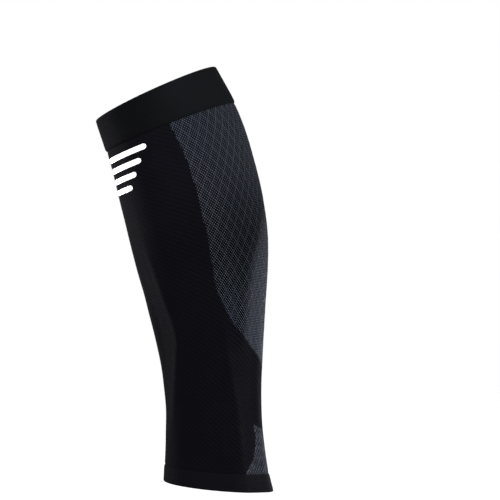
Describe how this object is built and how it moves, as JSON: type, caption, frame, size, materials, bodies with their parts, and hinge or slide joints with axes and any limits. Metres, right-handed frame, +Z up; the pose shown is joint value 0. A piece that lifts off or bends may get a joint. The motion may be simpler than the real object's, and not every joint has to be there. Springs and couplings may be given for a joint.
{
  "type": "calf compression sleeve",
  "caption": "Seamless knitted calf compression sleeve in its worn shape: an open tapering tube with a folded cuff, an openwork calf panel, an Achilles panel and a narrow ankle hem.",
  "frame": {"origin": "centre of the ankle opening, on the leg's axis", "axes": "+Z up with the wearer standing, -Y to the shin, +Y to the calf, X across the leg; the sleeve leans forward as on a slightly bent leg"},
  "size_m": [0.1068, 0.1487, 0.3558],
  "materials": {
    "cuff_knit": "black fine ribbed welt knit, doubled, matt with a faint sheen",
    "body_knit": "black dense plain knit with fine courses, matt",
    "panel_knit": "grey and black knit with raised dots and a fine diamond net",
    "patch_knit": "grey twill-like knit over the Achilles tendon",
    "hem_knit": "black smooth doubled hem knit, matt",
    "print": "thin white heat-transfer print, satin"
  },
  "bodies": {
    "root": {"upper_cuff": "cuff_knit", "leg_body": "body_knit", "calf_panel": "panel_knit", "achilles_panel": "patch_knit", "ankle_hem": "hem_knit"}
  },
  "joints": []
}
